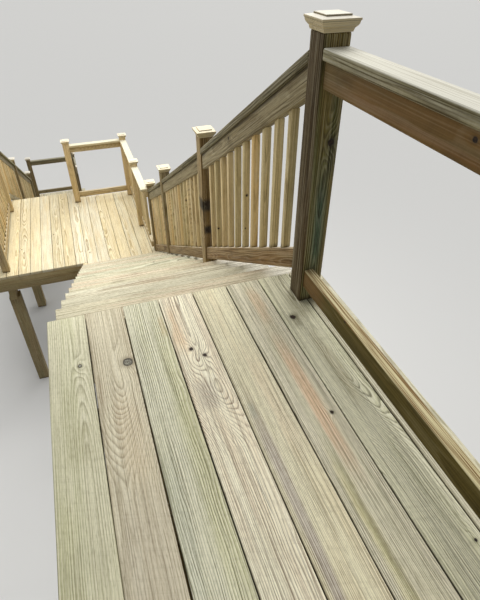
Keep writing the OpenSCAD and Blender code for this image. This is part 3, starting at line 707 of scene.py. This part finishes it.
# Half width of a post cap at each height above the post's top, metres: bead, two flares, plate and raised square.
# The third number is 1 where the strip up to this point is painted dark: painted shade in a recess.
CAP = [(0.0450, 0.0, 0), (0.0464, 0.0008, 0), (0.0490, 0.0098, 0), (0.0482, 0.0105, 0.6), (0.0500, 0.0113, 0), (0.0562, 0.0180, 0),
       (0.0555, 0.0188, 0.7), (0.0574, 0.0196, 0), (0.0594, 0.0286, 0), (0.0596, 0.0298, 0.4), (0.0604, 0.0303, 1.0), (0.0615, 0.0309, 0.6),
       (0.0615, 0.0348, 0), (0.0608, 0.0360, 0), (0.0412, 0.0402, 0), (0.0405, 0.0400, 0.9), (0.0405, 0.0440, 0.75), (0.0396, 0.0450, 0)]


def post_caps(node, slot):
    p = Piece(node, slot)
    for bm0 in solids(node):
        co = [x.co for x in bm0.verts]
        lo = Vector([min(c[i] for c in co) for i in range(3)])
        hi = Vector([max(c[i] for c in co) for i in range(3)])
        bm0.free()
        cx, cy, z0 = (lo.x + hi.x) / 2, (lo.y + hi.y) / 2, lo.z
        bm = bmesh.new()
        rings = [[bm.verts.new((cx + sx * h, cy + sy * h, z0 + z)) for sx, sy in ((-1, -1), (1, -1), (1, 1), (-1, 1))] for h, z, _ in CAP]
        bm.faces.new(rings[0][::-1])
        dark = {}
        for a, b, (_, _, crevice_shade) in zip(rings, rings[1:], CAP[1:]):
            for i in range(4):
                # painted shade on the marked strips
                dark[bm.faces.new((a[i], a[(i + 1) % 4], b[(i + 1) % 4], b[i]))] = -crevice_shade
        bm.faces.new(rings[-1])
        bmesh.ops.recalc_face_normals(bm, faces=bm.faces[:])
        p.add(bm, (Vector((1, 0, 0)), Vector((0, 1, 0)), Vector((0, 0, 1))), lo, hi, dark)
        bm.free()
    return p.done()


for sub in frame["record"]["subparts"]:
    node, slot = sub["node"], sub["material_slot"]
    if slot == "post_cap":
        post_caps(node, slot)
        continue
    kw = {}
    if slot == "deck_board":
        kw = dict(sag=0.0012, bevel=0.0045, knots=0.12)
    if slot == "tread":
        kw = dict(sag=0.0008, bevel=0.004, knots=0.12)
    if slot == "cap_rail":
        kw = dict(bevel=0.006, segs=3)
    if slot == "rail":
        kw = dict(bevel=0.005, segs=3, knots=0.15, capped="sub" in node)
    if slot == "guard_post":
        kw = dict(bevel=0.0055, segs=3, knots=0.2)
    if slot in ("framing", "support_post"):
        kw = dict(knots=0.2)
    lumber(node, slot, **kw)


# --------------------------------------------------------------------------- floor and light
def make_floor():
    bm = bmesh.new()
    s = 90
    for x, y in ((-s, -s), (s, -s), (s, s), (-s, s)):
        bm.verts.new((x, y, 0))
    bm.faces.new(bm.verts)
    me = bpy.data.meshes.new("floor")
    bm.to_mesh(me)
    ob = bpy.data.objects.new("floor", me)
    bpy.context.scene.collection.objects.link(ob)
    mat = bpy.data.materials.new("floor")
    mat.use_nodes = True
    bs = mat.node_tree.nodes["Principled BSDF"]
    bs.inputs["Base Color"].default_value = (0.70, 0.70, 0.69, 1)
    bs.inputs["Roughness"].default_value = 0.9
    bs.inputs["Specular IOR Level"].default_value = 0.1
    me.materials.append(mat)
    ob.visible_diffuse = False


make_floor()


def make_backdrop():
    """A pale dome behind the floor, seen by the camera alone."""
    bm = bmesh.new()
    bmesh.ops.create_uvsphere(bm, u_segments=48, v_segments=24, radius=85)
    me = bpy.data.meshes.new("backdrop")
    bm.to_mesh(me)
    ob = bpy.data.objects.new("backdrop", me)
    bpy.context.scene.collection.objects.link(ob)
    mat = bpy.data.materials.new("backdrop")
    mat.use_nodes = True
    t = Tree(mat.node_tree)
    em = t.t.nodes.new("ShaderNodeEmission")
    em.inputs["Color"].default_value = (0.60, 0.60, 0.59, 1)
    out = t.t.nodes.new("ShaderNodeOutputMaterial")
    t.put(em.outputs[0], out.inputs["Surface"])
    me.materials.append(mat)
    for ray in ("diffuse", "glossy", "transmission", "volume_scatter", "shadow"):
        setattr(ob, "visible_" + ray, False)


make_backdrop()


def make_light():
    """Soft light: a broad source ahead and to the right of the camera, as the open sky is in the photo, a dimmer sky all round and two large softboxes."""
    world = bpy.data.worlds.new("sky")
    bpy.context.scene.world = world
    world.use_nodes = True
    t = Tree(world.node_tree)
    tc = t.t.nodes.new("ShaderNodeTexCoord")
    x, y, z = t.sep(tc.outputs["Generated"])
    side = t.rng(t.add(t.mul(x, 0.5), t.mul(y, 0.86)), -0.9, 0.9, 0.30, 1.0)
    sky = t.add(t.mul(t.add(0.5, t.mul(z, 0.1)), side), t.rng(t.mul(x, -1.0), 0.2, 0.9, 0.0, 0.3))
    k = t.rng(z, -0.05, 0.10)
    lum = t.add(t.mul(t.sub(1.0, k), 0.24), t.mul(k, sky))
    bg = t.t.nodes.new("ShaderNodeBackground")
    bg.inputs["Color"].default_value = (0.985, 0.995, 1.0, 1)
    t.put(lum, bg.inputs["Strength"])
    out = t.t.nodes.new("ShaderNodeOutputWorld")
    t.put(bg.outputs[0], out.inputs["Surface"])

    el = math.radians(38)
    lamps = [("sky_patch", "SUN", 2.4, None, Vector((0.507 * math.cos(el), 0.862 * math.cos(el), math.sin(el)))),
             ("softbox_stairs", "AREA", 47, (-0.15, 2.2, 2.5), Vector((-0.12, 0.0, 1.0))),
             ("softbox_landing", "AREA", 42, (0.2, 4.9, 1.5), Vector((0.0, 0.0, 1.0)))]
    for name, kind, power, at, d in lamps:
        lamp = bpy.data.lights.new(name, kind)
        lamp.energy = power
        lamp.color = (1.0, 0.985, 0.955)
        if kind == "SUN":
            lamp.angle = math.radians(58)
        else:
            lamp.shape = "SQUARE"
            lamp.size = 2.4
            lamp.spread = math.radians(125)
        ob = bpy.data.objects.new(name, lamp)
        ob.rotation_euler = d.to_track_quat("Z", "Y").to_euler()
        if at:
            ob.location = Vector(at) + OFF
        ob.visible_camera = False
        bpy.context.scene.collection.objects.link(ob)


make_light()
